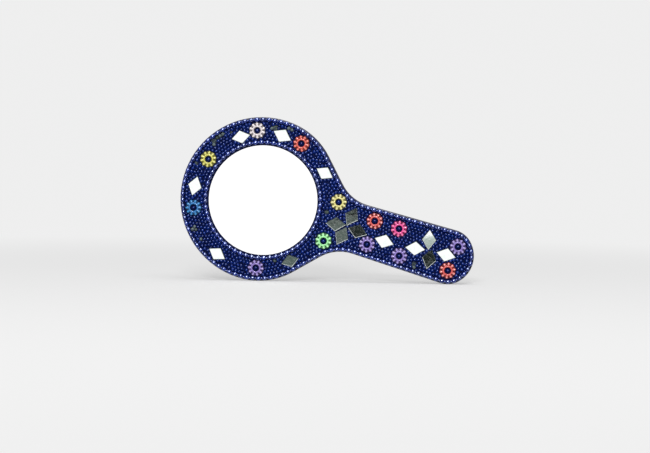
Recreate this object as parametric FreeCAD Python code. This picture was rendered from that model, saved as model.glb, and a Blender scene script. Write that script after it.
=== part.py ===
"""Hand mirror of beaded lac on a paddle-shaped board, standing on its edge with the glass towards -Y.

The paddle is laid out flat first: x runs along the handle from the head's centre, y across it and z from
the back to the front. Every piece is then stood up, so that the head and the handle's end touch the floor.
"""
import FreeCAD
import Part
import math
import os
import random

# Outline from the head's far end to the handle's end, as bends (mm and degrees) and straight runs
HEAD_RADIUS = 50.0
HEAD_TURN = 92.2
SHOULDER_RADIUS = 43.0
SHOULDER_SLOPE = 46.3
SHOULDER_RUN = 19.0
NECK_RADIUS = 24.5
HANDLE_FLARE = 1.2
HANDLE_RUN = 56.0
CORNER_RADIUS = 14.0
CORNER_TURN = 46.0

# Layers from the back to the front
BACK_COAT = 1.0
SIDE_COAT = 1.2
BOARD = 5.0
FRONT_LAC = 2.8
BACK_BEVEL = 0.8
BOARD_TOP = BACK_COAT + BOARD
FRONT = BOARD_TOP + FRONT_LAC

# Round mirror, set a little off the head's centre
MIRROR_X = 0.9
MIRROR_Y = -0.3
GLASS_RADIUS = 35.0
GLASS = 1.8
GLASS_PAD = 0.4
WINDOW_RADIUS = 33.4
GLASS_BOTTOM = BOARD_TOP + GLASS_PAD
GLASS_TOP = GLASS_BOTTOM + GLASS

# Strings of oval beads along the rim and around the glass
STRING_BEAD_LENGTH = 3.4
STRING_BEAD_WIDTH = 2.44
STRING_BEAD_SIDES = 4
STRING_BEAD_SHOULDER = 1.3
STRING_BEAD_HEIGHT = 2.35
STRING_PITCH = 3.7
RIM_INSET = 1.5
RING_RADIUS = 35.3

# Small seed beads that fill the rest of the front, and how closely they are pressed together
SEED_RADIUS = 0.97
SEED_SIDES = 3
SEED_HEIGHT = 1.35
SEED_ROOM = 1.04
SEED_PLAY = 0.05
SEED_PITCH = 2.09
SEED_JITTER = 0.25
SEED_ROUNDS = 25
THINNING_DISTANCE = 25.0
NEARBY = 9.0
GAP_STEP = 0.3
SHUFFLE = 11

# Moulded flowers: a ring with round-tipped petals
PETALS = 10
FLOWER_RADIUS = 4.95
FLOWER_WAIST = 4.25
FLOWER_VALLEY = 3.05
FLOWER_CREST = 2.65
FLOWER_TIP_CREST = 4.15
FLOWER_HOLE = 1.95
FLOWER_HEIGHT = 1.5
FLOWER_TIP_HEIGHT = 1.4
FLOWER_VALLEY_HEIGHT = 1.05
PETAL_HALF_WAIST = 10.5
PETAL_HALF_TIP = 6.5

# Lozenges cut from thin mirror glass and pressed into the lac
LOZENGE_SIDE = 7.5
LOZENGE_ACUTE = 70.0
LOZENGE_GLASS = 1.5
LOZENGE_SUNK = 0.7
LOZENGE_BEVEL = 0.25

# Flowers: name, x, y and the angle of one petal
FLOWERS = (
    ("flower_01_yellow", -38.3, 13.9, 27.0),
    ("flower_02_white", -14.6, 39.3, 0.0),
    ("flower_03_orange", 13.5, 39.5, 3.0),
    ("flower_04_blue", -38.5, -17.1, 18.0),
    ("flower_05_violet", 8.9, -41.1, 11.0),
    ("flower_06_cream", 45.6, 12.2, 19.0),
    ("flower_07_green", 43.6, -13.1, 2.0),
    ("flower_08_red", 69.9, 7.7, 3.5),
    ("flower_09_pink", 85.3, 7.5, 28.0),
    ("flower_10_violet", 69.5, -7.3, 29.0),
    ("flower_11_violet", 90.2, -8.2, 21.0),
    ("flower_12_violet", 122.5, 7.6, 5.0),
    ("flower_13_red", 120.8, -8.0, 27.0),
)

# Lozenges: x, y, direction of the long diagonal, lift of the lower edge in degrees and share of full size
LOZENGES = (
    (-23.1, 32.7, 29.5, 0.0, 0.95),
    (1.0, 40.8, -12.0, 0.0, 1.0),
    (32.3, 26.6, -13.0, 0.0, 0.94),
    (-41.5, -4.1, -89.0, 0.0, 1.0),
    (-16.4, -39.8, -16.5, 0.0, 0.96),
    (27.7, -30.8, 35.0, 6.0, 0.9),
    (47.8, -1.1, 12.0, 6.0, 1.0),
    (55.8, 6.0, 77.0, 6.0, 1.0),
    (53.3, -6.9, 78.0, 6.0, 1.0),
    (61.8, -1.4, -3.0, 7.0, 1.0),
    (78.9, -2.3, -2.0, 0.0, 1.0),
    (98.1, -0.9, 10.0, 0.0, 1.0),
    (104.6, 6.6, 102.5, 3.0, 1.0),
    (108.1, -4.7, 93.0, 7.0, 1.0),
    (117.1, 0.9, 1.5, 0.0, 0.98),
)

# Places where the seed beads have come away and the lac shows: x, y and radius
BARE_SPOTS = (
    (-38.2, 25.8, 1.5),
    (-4.2, 44.4, 1.5),
    (40.3, 4.3, 1.2),
    (-44.2, 9.5, 1.0),
    (100.3, -9.7, 1.2),
)

UP = FreeCAD.Vector(0, 0, 1)
ORIGIN = FreeCAD.Vector(0, 0, 0)
ROUNDING_ERROR = 1e-6
LEVEL_TOLERANCE = 1e-4


class Run:
    """A straight stretch of the outline, travelled towards the handle's end with the inside on the right."""

    def __init__(self, start, heading, length):
        self.start = start
        self.heading = heading
        self.length = length

    def point(self, distance):
        x = self.start[0] + distance * math.cos(self.heading)
        y = self.start[1] + distance * math.sin(self.heading)
        return x, y

    def direction(self, distance):
        return self.heading

    def edge(self, points):
        return Part.LineSegment(points[0], points[2]).toShape()

    def depth(self, x, y):
        """How far inside a point lies and the direction further in, or None beyond this stretch's ends."""
        dx = x - self.start[0]
        dy = y - self.start[1]
        along = dx * math.cos(self.heading) + dy * math.sin(self.heading)
        if not 0 <= along <= self.length:
            return None
        inward = (math.sin(self.heading), -math.cos(self.heading))
        return dx * inward[0] + dy * inward[1], inward


class Bend:
    """A round stretch of the outline: a right turn bulges outwards and a left turn draws in."""

    def __init__(self, start, heading, radius, turn):
        self.side = math.copysign(1, turn)
        self.radius = radius
        self.turn = abs(turn)
        self.centre = (
            start[0] - self.side * radius * math.sin(heading),
            start[1] + self.side * radius * math.cos(heading),
        )
        self.first = heading - self.side * math.pi / 2
        self.length = radius * self.turn

    def angle(self, distance):
        return self.first + self.side * distance / self.radius

    def point(self, distance):
        angle = self.angle(distance)
        x = self.centre[0] + self.radius * math.cos(angle)
        y = self.centre[1] + self.radius * math.sin(angle)
        return x, y

    def direction(self, distance):
        return self.angle(distance) + self.side * math.pi / 2

    def edge(self, points):
        return Part.Arc(*points).toShape()

    def depth(self, x, y):
        """How far inside a point lies and the direction further in, or None beyond this stretch's ends."""
        dx = x - self.centre[0]
        dy = y - self.centre[1]
        reach = math.hypot(dx, dy)
        travelled = self.side * (math.atan2(dy, dx) - self.first)
        travelled = (travelled + math.pi) % (2 * math.pi) - math.pi
        if reach == 0 or not 0 <= travelled <= self.turn:
            return None
        inward = (self.side * dx / reach, self.side * dy / reach)
        return self.side * (reach - self.radius), inward


def half_outline(inset=0.0):
    """Bends and runs of the outline's upper half, drawn in evenly by inset."""
    bend_or_run = (
        (HEAD_RADIUS, -HEAD_TURN),
        (SHOULDER_RADIUS, HEAD_TURN - 90 - SHOULDER_SLOPE),
        (SHOULDER_RUN, 0),
        (NECK_RADIUS, SHOULDER_SLOPE + HANDLE_FLARE),
        (HANDLE_RUN, 0),
        (CORNER_RADIUS, -CORNER_TURN),
    )
    place = (inset - HEAD_RADIUS, 0.0)
    heading = math.pi / 2
    stretches = []
    for size, degrees in bend_or_run:
        if degrees:
            turn = math.radians(degrees)
            stretch = Bend(place, heading, size + math.copysign(inset, turn), turn)
            heading += turn
        else:
            stretch = Run(place, heading, size)
        stretches.append(stretch)
        place = stretch.point(stretch.length)
    end_radius = place[1] / math.cos(heading)
    stretches.append(Bend(place, heading, end_radius, -heading - math.pi / 2))
    return stretches


RIM = half_outline()
HEAD_BEND = RIM[0]
SHOULDER_BEND = RIM[1]
CORNER_BEND = RIM[-2]
END_BEND = RIM[-1]
HANDLE_END = END_BEND.centre[0] + END_BEND.radius


def standing_tilt():
    """Fall of the handle when the lower shoulder and the handle's lower corner both touch the floor."""
    across = CORNER_BEND.centre[0] - SHOULDER_BEND.centre[0]
    rise = CORNER_BEND.centre[1] - SHOULDER_BEND.centre[1]
    drop = SHOULDER_BEND.radius - CORNER_BEND.radius
    return math.asin(drop / math.hypot(across, rise)) - math.atan2(rise, across)


TILT = standing_tilt()


def standing_foot(depth):
    """Floor point under the middle of the standing mirror, before it is moved to the origin."""
    left = -HEAD_BEND.radius
    right = END_BEND.centre[0] * math.cos(TILT) + END_BEND.radius
    along = SHOULDER_BEND.centre[0] * math.sin(TILT)
    across = SHOULDER_BEND.centre[1] * math.cos(TILT)
    lowest = along + across + SHOULDER_BEND.radius
    return FreeCAD.Vector((left + right) / 2, -depth / 2, -lowest)


def stand(shape, foot):
    """A laid-out shape, stood up on the floor with its front towards -Y."""
    placed = shape.copy()
    placed.rotate(ORIGIN, FreeCAD.Vector(1, 0, 0), 90)
    placed.rotate(ORIGIN, FreeCAD.Vector(0, 1, 0), math.degrees(TILT))
    placed.translate(-foot)
    return placed


def outline_wire(inset, z):
    edges = []
    for side in (1, -1):
        for stretch in half_outline(inset):
            marks = (stretch.point(stretch.length * share) for share in (0, 0.5, 1))
            edges.append(stretch.edge([FreeCAD.Vector(x, side * y, z) for x, y in marks]))
    return Part.Wire(Part.__sortEdges__(edges))


def slab(inset, bottom, top):
    return Part.Face(outline_wire(inset, bottom)).extrude(UP * (top - bottom))


def disc(radius, bottom, top):
    return Part.makeCylinder(radius, top - bottom, FreeCAD.Vector(MIRROR_X, MIRROR_Y, bottom))


def level_edges(solid, z):
    boxes = [(edge, edge.BoundBox) for edge in solid.Edges]
    return [edge for edge, box in boxes if max(abs(box.ZMin - z), abs(box.ZMax - z)) < LEVEL_TOLERANCE]


def flat_face(corners):
    return Part.Face(Part.makePolygon(corners + corners[:1]))


def polyhedron(faces):
    """Solid from flat faces, each given by its corners in turn as seen from outside."""
    return Part.Solid(Part.Shell([flat_face(corners) for corners in faces]))


def around(radius, z, count, first):
    """Evenly spaced points on a level circle."""
    angles = (math.radians(first + 360 * k / count) for k in range(count))
    return [FreeCAD.Vector(radius * math.cos(angle), radius * math.sin(angle), z) for angle in angles]


def antiprism_sides(lower, upper):
    """Triangles between two level rings, the upper one turned forward by half a step."""
    count = len(lower)
    sides = []
    for k in range(count):
        after = (k + 1) % count
        sides.append([lower[k], lower[after], upper[k]])
        sides.append([lower[after], upper[after], upper[k]])
    return sides


def oval(z, first):
    """Points on a level oval of a string bead's length and width."""
    circle = around(0.5, z, STRING_BEAD_SIDES, first)
    return [FreeCAD.Vector(p.x * STRING_BEAD_LENGTH, p.y * STRING_BEAD_WIDTH, p.z) for p in circle]


def string_bead():
    """Oval bead of a string, faceted, with a flat underside."""
    lower = oval(0, 0)
    upper = oval(STRING_BEAD_SHOULDER, 180 / STRING_BEAD_SIDES)
    top = FreeCAD.Vector(0, 0, STRING_BEAD_HEIGHT)
    cap = [[upper[k], upper[(k + 1) % STRING_BEAD_SIDES], top] for k in range(STRING_BEAD_SIDES)]
    return polyhedron([lower[::-1]] + antiprism_sides(lower, upper) + cap)


def seed_bead():
    """Small bead as an eight-sided nugget lying on one face."""
    lower = around(SEED_RADIUS, 0, SEED_SIDES, 0)
    upper = around(SEED_RADIUS, SEED_HEIGHT, SEED_SIDES, 180 / SEED_SIDES)
    return polyhedron([lower[::-1], upper] + antiprism_sides(lower, upper))


def flower_solid():
    """Moulded ring with ridged petals, a notch between each two and a funnel-shaped hole."""
    step = 360 / PETALS
    hole = around(FLOWER_HOLE, 0, PETALS, -step / 2)
    crest_low = around(FLOWER_CREST, FLOWER_VALLEY_HEIGHT, PETALS, -step / 2)
    crest = around(FLOWER_CREST, FLOWER_HEIGHT, PETALS, 0)
    valley = around(FLOWER_VALLEY, 0, PETALS, -step / 2)
    waist_before = around(FLOWER_WAIST, 0, PETALS, -PETAL_HALF_WAIST)
    waist_after = around(FLOWER_WAIST, 0, PETALS, PETAL_HALF_WAIST)
    tip_before = around(FLOWER_RADIUS, 0, PETALS, -PETAL_HALF_TIP)
    tip_after = around(FLOWER_RADIUS, 0, PETALS, PETAL_HALF_TIP)
    tip_crest = around(FLOWER_TIP_CREST, FLOWER_TIP_HEIGHT, PETALS, 0)
    faces = []
    outline = []
    for k in range(PETALS):
        after = (k + 1) % PETALS
        outline += [valley[k], waist_before[k], tip_before[k], tip_after[k], waist_after[k]]
        faces += [
            [crest_low[k], valley[k], crest[k]],
            [valley[k], waist_before[k], crest[k]],
            [waist_before[k], tip_crest[k], crest[k]],
            [waist_before[k], tip_before[k], tip_crest[k]],
            [tip_before[k], tip_after[k], tip_crest[k]],
            [tip_after[k], waist_after[k], tip_crest[k]],
            [waist_after[k], crest[k], tip_crest[k]],
            [waist_after[k], valley[after], crest[k]],
            [valley[after], crest_low[after], crest[k]],
            [crest_low[k], crest[k], hole[k]],
            [crest[k], hole[after], hole[k]],
            [crest[k], crest_low[after], hole[after]],
        ]
    underside = flat_face(outline[::-1]).cut(flat_face(hole[::-1])).Faces
    return Part.Solid(Part.Shell([flat_face(face) for face in faces] + underside))


def lozenge_half_diagonals(share):
    half = math.radians(LOZENGE_ACUTE / 2)
    return LOZENGE_SIDE * share * math.cos(half), LOZENGE_SIDE * share * math.sin(half)


def lozenge_solid(x, y, direction, lean, share):
    """Bevelled rhombus of mirror glass, part of it sunk in the bed and its lower edge lifted by lean."""
    long_half, short_half = lozenge_half_diagonals(share)
    corners = [(long_half, 0), (0, short_half), (-long_half, 0), (0, -short_half)]
    points = [FreeCAD.Vector(a, b, -LOZENGE_SUNK) for a, b in corners]
    glass = flat_face(points).extrude(UP * LOZENGE_GLASS)
    glass = glass.makeChamfer(LOZENGE_BEVEL, level_edges(glass, LOZENGE_GLASS - LOZENGE_SUNK))
    glass.rotate(ORIGIN, UP, direction)
    level = FreeCAD.Vector(math.cos(TILT), math.sin(TILT), 0)
    glass.rotate(ORIGIN, level, -lean)
    glass.translate(FreeCAD.Vector(x, y, FRONT))
    return glass


def string_along_rim():
    """Evenly spaced places on both halves of the outline with their directions, at the rim string's inset."""
    stretches = half_outline(RIM_INSET)
    half_length = sum(stretch.length for stretch in stretches)
    count = round(half_length / STRING_PITCH)
    places = []
    for k in range(count + 1):
        left = half_length * k / count
        for stretch in stretches:
            if left <= stretch.length + ROUNDING_ERROR:
                break
            left -= stretch.length
        x, y = stretch.point(left)
        turn = math.degrees(stretch.direction(left))
        places.append((x, y, turn))
        if 0 < k < count:
            places.append((x, -y, -turn))
    return places


def string_round_glass():
    count = round(2 * math.pi * RING_RADIUS / STRING_PITCH)
    circle = around(RING_RADIUS, 0, count, 0)
    return [(p.x + MIRROR_X, p.y + MIRROR_Y, 90 + 360 * k / count) for k, p in enumerate(circle)]


def rim_depths(x, y):
    """How far inside the stretches of the rim beside it a point lies, with the directions further in."""
    depths = (stretch.depth(x, abs(y)) for stretch in RIM)
    return [depth for depth in depths if depth]


def rim_clearance(x, y):
    """Room between a seed bead and the rim string, with the direction that makes more of it."""
    depth, inward = min(rim_depths(x, y), key=lambda found: found[0])
    room = depth - RIM_INSET - STRING_BEAD_WIDTH / 2 - SEED_ROOM
    return room, (inward[0], math.copysign(inward[1], inward[1] * y))


def round_clearance(x, y, centre_x, centre_y, radius):
    dx = x - centre_x
    dy = y - centre_y
    reach = math.hypot(dx, dy) or ROUNDING_ERROR
    return reach - radius - SEED_ROOM, (dx / reach, dy / reach)


def lozenge_clearance(x, y, lozenge):
    centre_x, centre_y, direction, lean, share = lozenge
    long_half, short_half = lozenge_half_diagonals(share)
    along = FreeCAD.Vector(math.cos(math.radians(direction)), math.sin(math.radians(direction)), 0)
    across = FreeCAD.Vector(-along.y, along.x, 0)
    offset = FreeCAD.Vector(x - centre_x, y - centre_y, 0)
    a = offset.dot(along)
    b = offset.dot(across)
    slope = math.hypot(1 / long_half, 1 / short_half)
    room = (abs(a) / long_half + abs(b) / short_half - 1) / slope - SEED_ROOM
    away = along * math.copysign(1 / long_half, a) + across * math.copysign(1 / short_half, b)
    return room, (away.x / slope, away.y / slope)


def clearances(x, y):
    """Room between a seed bead here and each thing near it on the front."""
    yield rim_clearance(x, y)
    yield round_clearance(x, y, MIRROR_X, MIRROR_Y, RING_RADIUS + STRING_BEAD_WIDTH / 2)
    for name, flower_x, flower_y, petal in FLOWERS:
        if math.dist((x, y), (flower_x, flower_y)) < NEARBY:
            yield round_clearance(x, y, flower_x, flower_y, FLOWER_RADIUS)
    for lozenge in LOZENGES:
        if math.dist((x, y), lozenge[:2]) < NEARBY:
            yield lozenge_clearance(x, y, lozenge)
    for spot in BARE_SPOTS:
        if math.dist((x, y), spot[:2]) < NEARBY:
            yield round_clearance(x, y, *spot)


def within_outline(x, y):
    """Whether a point lies inside the outline, by the stretch of the rim nearest to it."""
    depths = rim_depths(x, y)
    return bool(depths) and min(depths, key=lambda found: abs(found[0]))[0] > 0


def cell_of(spot):
    return int(spot[0] // SEED_PITCH), int(spot[1] // SEED_PITCH)


def sorted_into_cells(spots):
    cells = {}
    for spot in spots:
        cells.setdefault(cell_of(spot), []).append(spot)
    return cells


def neighbours(cells, spot):
    column, row = cell_of(spot)
    for i in range(column - 1, column + 2):
        for j in range(row - 1, row + 2):
            yield from (other for other in cells.get((i, j), ()) if other != spot)


def spread_apart(spots):
    """One round of pushing seed beads off each other and off what lies around them."""
    cells = sorted_into_cells(spots)
    moved = []
    for spot in spots:
        push_x = 0.0
        push_y = 0.0
        for other in neighbours(cells, spot):
            gap = math.dist(spot, other)
            if gap < SEED_PITCH:
                push_x += (spot[0] - other[0]) * (SEED_PITCH / gap - 1) / 2
                push_y += (spot[1] - other[1]) * (SEED_PITCH / gap - 1) / 2
        for room, away in clearances(*spot):
            if room < 0:
                push_x -= away[0] * room
                push_y -= away[1] * room
        moved.append((spot[0] + push_x, spot[1] + push_y))
    return moved


def squeeze(spot, cells):
    """The most that a seed bead lacks of its own room."""
    lacking = [-room for room, away in clearances(*spot)]
    lacking += [2 * SEED_ROOM - math.dist(spot, other) for other in neighbours(cells, spot)]
    return max(lacking)


def close_rows():
    """Seed bead centres in close rows over the whole field, each shaken a little."""
    chance = random.Random(SHUFFLE)
    row_step = SEED_PITCH * math.sqrt(3) / 2
    rows = int(HEAD_RADIUS / row_step)
    columns = int((HEAD_RADIUS + HANDLE_END) / SEED_PITCH)
    for row in range(-rows, rows + 1):
        for column in range(columns + 1):
            x = (column + 0.5 * (row % 2)) * SEED_PITCH - HEAD_RADIUS
            y = row * row_step
            x += chance.uniform(-SEED_JITTER, SEED_JITTER)
            y += chance.uniform(-SEED_JITTER, SEED_JITTER)
            if within_outline(x, y) and min(clearances(x, y))[0] > -SEED_ROOM:
                yield x, y


def thinned(spots):
    """The seed beads without the most squeezed ones, of which only some far apart are taken at a time."""
    cells = sorted_into_cells(spots)
    crowding = {spot: squeeze(spot, cells) for spot in spots}
    taken = []
    for spot in sorted(spots, key=crowding.get, reverse=True):
        if crowding[spot] > SEED_PLAY and all(math.dist(spot, other) > THINNING_DISTANCE for other in taken):
            taken.append(spot)
    return [spot for spot in spots if spot not in taken]


def gap_fillers(spots):
    """Seed beads for the gaps that are left between the others."""
    cells = sorted_into_cells(spots)
    for row in range(int(-HEAD_RADIUS / GAP_STEP), int(HEAD_RADIUS / GAP_STEP) + 1):
        for column in range(int(-HEAD_RADIUS / GAP_STEP), int(HANDLE_END / GAP_STEP) + 1):
            spot = (column * GAP_STEP, row * GAP_STEP)
            if within_outline(*spot) and squeeze(spot, cells) < SEED_PLAY:
                cells.setdefault(cell_of(spot), []).append(spot)
                yield spot


def field_spots():
    """Seed bead centres: close rows pressed apart, the most squeezed taken out and the gaps filled."""
    spots = list(close_rows())
    count = 0
    while count != len(spots):
        count = len(spots)
        for _ in range(SEED_ROUNDS):
            spots = spread_apart(spots)
        spots = thinned(spots)
    return spots + list(gap_fillers(spots))


def turned_by_chance(spots):
    chance = random.Random(SHUFFLE)
    return [(x, y, chance.uniform(0, 360)) for x, y in spots]


def on_bed(piece, x, y, turn):
    return piece.rotated(ORIGIN, UP, turn).translated(FreeCAD.Vector(x, y, FRONT))


def group(piece, places):
    """Separate copies of one piece on the bed, each at its place and turn."""
    return Part.makeCompound([on_bed(piece, *place) for place in places])


def paddle_board():
    return slab(SIDE_COAT, BACK_COAT, BOARD_TOP)


def lac_back_shell():
    """Lac coat over the back and the side, open to the front, with its back edge taken off."""
    coat = slab(0, 0, FRONT)
    coat = coat.makeChamfer(BACK_BEVEL, level_edges(coat, 0))
    return coat.cut(slab(SIDE_COAT, BACK_COAT, FRONT))


def front_lac_bed(lozenges):
    """Front lac with a stepped hole that holds the round glass and a pressed-in seat for every lozenge."""
    bed = slab(SIDE_COAT, BOARD_TOP, FRONT)
    bed = bed.cut([disc(GLASS_RADIUS, BOARD_TOP, GLASS_TOP), disc(WINDOW_RADIUS, BOARD_TOP, FRONT)])
    return bed.cut(lozenges)


def build():
    lozenges = [lozenge_solid(*lozenge) for lozenge in LOZENGES]
    nodes = {
        "paddle_board": paddle_board(),
        "lac_back_shell": lac_back_shell(),
        "front_lac_bed": front_lac_bed(lozenges),
        "mirror_lac_pad": disc(GLASS_RADIUS, BOARD_TOP, GLASS_BOTTOM),
        "mirror_glass": disc(GLASS_RADIUS, GLASS_BOTTOM, GLASS_TOP),
        "rim_beads": group(string_bead(), string_along_rim()),
        "mirror_ring_beads": group(string_bead(), string_round_glass()),
        "field_beads": group(seed_bead(), turned_by_chance(field_spots())),
        "flower_centre_beads": group(seed_bead(), [place for name, *place in FLOWERS]),
    }
    flower = flower_solid()
    for name, *place in FLOWERS:
        nodes[name] = on_bed(flower, *place)
    for number, lozenge in enumerate(lozenges, 1):
        nodes[f"lozenge_{number:02d}"] = lozenge
    return nodes


def main():
    os.makedirs("parts", exist_ok=True)
    nodes = build()
    depth = max(shape.BoundBox.ZMax for shape in nodes.values())
    foot = standing_foot(depth)
    for name, shape in nodes.items():
        stand(shape, foot).exportStep(f"parts/{name}.step")
        print(name, len(shape.Solids), "solids", round(shape.Volume, 1), "mm3", "valid", shape.isValid())
    print("tilt", round(math.degrees(TILT), 2), "depth", round(depth, 2))


main()
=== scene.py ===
"""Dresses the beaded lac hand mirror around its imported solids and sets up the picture.

The solids give every piece its place. Round beads, moulded flowers and a softened lac coat stand for the
plainer solids, spacers and filling beads close the gaps between the beads, and the glass, the lac bed, the
board and the lozenges keep their solids with finishes of their own. Lengths are in metres, with MM for the
small sizes, and the front of the mirror faces -Y.
"""
import logging
import math
import random
from collections.abc import Iterator
from dataclasses import dataclass, replace
from enum import Enum

import bmesh
import bpy
from mathutils import Matrix, Vector
from mathutils.bvhtree import BVHTree
from mathutils.kdtree import KDTree


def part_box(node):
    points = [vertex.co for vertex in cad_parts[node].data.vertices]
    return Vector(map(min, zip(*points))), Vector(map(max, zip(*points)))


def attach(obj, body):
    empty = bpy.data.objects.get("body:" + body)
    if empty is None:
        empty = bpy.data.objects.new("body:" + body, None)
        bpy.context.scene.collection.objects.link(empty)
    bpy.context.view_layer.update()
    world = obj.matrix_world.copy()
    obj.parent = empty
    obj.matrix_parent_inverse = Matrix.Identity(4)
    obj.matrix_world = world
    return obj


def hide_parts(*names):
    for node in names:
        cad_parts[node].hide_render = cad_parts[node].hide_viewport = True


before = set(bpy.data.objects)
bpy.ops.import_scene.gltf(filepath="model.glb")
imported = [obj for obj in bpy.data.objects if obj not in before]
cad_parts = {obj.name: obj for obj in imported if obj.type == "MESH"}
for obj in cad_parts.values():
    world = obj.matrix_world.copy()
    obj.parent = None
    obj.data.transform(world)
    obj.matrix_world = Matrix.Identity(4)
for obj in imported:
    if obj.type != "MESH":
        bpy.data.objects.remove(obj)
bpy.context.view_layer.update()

MM = 0.001
BODY = "root"
MERGE_DISTANCE = 1e-6
POLE_HEIGHT = 0.999
TONE = "tone"
FIELD_BEADS = "field_beads"
CENTRE_BEADS = "flower_centre_beads"
FRONT = Vector((0.0, -1.0, 0.0))
FRONT_TURN = Matrix.Rotation(math.radians(90), 4, "X")

log = logging.getLogger("hand_mirror")

Range = tuple[float, float]
Triple = tuple[float, float, float]
Colour = tuple[float, float, float]
Stop = tuple[float, Colour]

# Sockets of a colour mix: its share and its two colours go in, and the mixed colour comes out.
MIX_INPUTS = (0, 6, 7)
MIX_OUTPUT = 2

# Places where beads have come away or lost their colour, as x, z and radius in millimetres.
WORN_SPOTS: tuple[Triple, ...] = (
    (-66.2, 87.7, 2.0),
    (-63.5, 89.5, 1.6),
    (-69.5, 84.9, 2.2),
    (-59.0, 90.3, 1.3),
    (-31.7, 93.5, 2.2),
    (-22.4, 93.1, 1.2),
    (-80.0, 71.2, 1.5),
    (-80.9, 31.4, 1.3),
    (-76.6, 24.6, 1.4),
    (-31.3, 12.6, 1.2),
    (0.3, 42.5, 1.8),
    (53.5, 11.8, 2.0),
)


class FlowerColour(Enum):
    """Colours that the moulded flowers come in."""

    YELLOW = "yellow"
    WHITE = "white"
    ORANGE = "orange"
    BLUE = "blue"
    VIOLET = "violet"
    CREAM = "cream"
    GREEN = "green"
    RED = "red"
    PINK = "pink"


class Nodes:
    """A node sheet, with short calls for the nodes that the finishes and the surroundings share."""

    def __init__(self, tree: bpy.types.NodeTree, coordinates: str) -> None:
        """Starts on a sheet, whose patterns lie on the named coordinates."""
        self.tree = tree
        self.place = tree.nodes.new("ShaderNodeTexCoord").outputs[coordinates]

    def node(self, kind: str, **inputs: object) -> bpy.types.Node:
        """Adds a node and fills or links its inputs.

        Args:
            kind: Node type.
            inputs: Values, or sockets to link, by input name with underscores for spaces.

        Returns:
            The new node.
        """
        node = self.tree.nodes.new(kind)
        for name, value in inputs.items():
            self.feed(node.inputs[name.replace("_", " ")], value)
        return node

    def feed(self, socket: bpy.types.NodeSocket, value: object) -> None:
        """Links a socket to another one, or sets its value.

        Args:
            socket: Input to fill.
            value: Output socket to link, or a plain value.
        """
        if isinstance(value, bpy.types.NodeSocket):
            self.tree.links.new(value, socket)
        elif isinstance(value, tuple) and len(value) == 3 and socket.type == "RGBA":
            socket.default_value = (*value, 1.0)
        else:
            socket.default_value = value

    def math(self, operation: str, first: object, second: object = 0.0) -> bpy.types.NodeSocket:
        """Adds one sum.

        Args:
            operation: Kind of sum.
            first: First value or socket.
            second: Second value or socket.

        Returns:
            The result.
        """
        node = self.tree.nodes.new("ShaderNodeMath")
        node.operation = operation
        self.feed(node.inputs[0], first)
        self.feed(node.inputs[1], second)
        return node.outputs["Value"]

    def parts(self, vector: bpy.types.NodeSocket) -> bpy.types.bpy_prop_collection:
        """Takes a vector apart into sockets by the names X, Y and Z."""
        return self.node("ShaderNodeSeparateXYZ", Vector=vector).outputs

    def noise(
        self,
        scale: float,
        detail: float,
        stretch: Triple = (1.0, 1.0, 1.0),
    ) -> bpy.types.NodeSocket:
        """Adds a noise pattern fixed to the object.

        Args:
            scale: Repeats per metre.
            detail: Depth of finer layers.
            stretch: Scale of the pattern along each axis.

        Returns:
            The pattern's value from 0 to 1.
        """
        mapped = self.node("ShaderNodeMapping", Vector=self.place, Scale=stretch)
        place = mapped.outputs["Vector"]
        noise = self.node("ShaderNodeTexNoise", Vector=place, Scale=scale, Detail=detail)
        return noise.outputs["Fac"]

    def ramp(self, value: bpy.types.NodeSocket, *stops: Stop) -> bpy.types.NodeSocket:
        """Turns a value into a colour.

        Args:
            value: Driving value.
            stops: Positions with their colours, in order.

        Returns:
            The colour.
        """
        ramp = self.node("ShaderNodeValToRGB", Fac=value)
        elements = ramp.color_ramp.elements
        while len(elements) < len(stops):
            elements.new(1.0)
        for element, (position, colour) in zip(elements, stops):
            element.position = position
            element.color = (*colour, 1.0)
        return ramp.outputs["Color"]

    def blend(
        self,
        value: bpy.types.NodeSocket,
        run: Range,
        first: Colour,
        second: Colour,
    ) -> bpy.types.NodeSocket:
        """Runs from one colour to another over a range of a value."""
        return self.ramp(value, *zip(run, (first, second)))

    def span(
        self,
        value: bpy.types.NodeSocket,
        low: float,
        high: float,
        start: float = 0.0,
        end: float = 1.0,
        kind: str = "LINEAR",
    ) -> bpy.types.NodeSocket:
        """Maps one range of a value to another.

        Args:
            value: Driving value.
            low: Result at the start.
            high: Result at the end.
            start: Where the driving range starts.
            end: Where it ends.
            kind: How the value runs between them.

        Returns:
            The mapped value.
        """
        node = self.node(
            "ShaderNodeMapRange",
            Value=value,
            From_Min=start,
            From_Max=end,
            To_Min=low,
            To_Max=high,
        )
        node.interpolation_type = kind
        return node.outputs["Result"]

    def mix(self, share: object, first: object, second: object) -> bpy.types.NodeSocket:
        """Mixes two colours.

        Args:
            share: Share of the second colour.
            first: Colour at share 0.
            second: Colour at share 1.

        Returns:
            The mixed colour.
        """
        mix = self.tree.nodes.new("ShaderNodeMix")
        mix.data_type = "RGBA"
        for index, value in zip(MIX_INPUTS, (share, first, second)):
            self.feed(mix.inputs[index], value)
        return mix.outputs[MIX_OUTPUT]

    def attribute(self, name: str) -> bpy.types.NodeSocket:
        """Reads a value that the mesh carries.

        Args:
            name: Name of the mesh's attribute.

        Returns:
            The value.
        """
        node = self.tree.nodes.new("ShaderNodeAttribute")
        node.attribute_name = name
        return node.outputs["Fac"]


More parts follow.
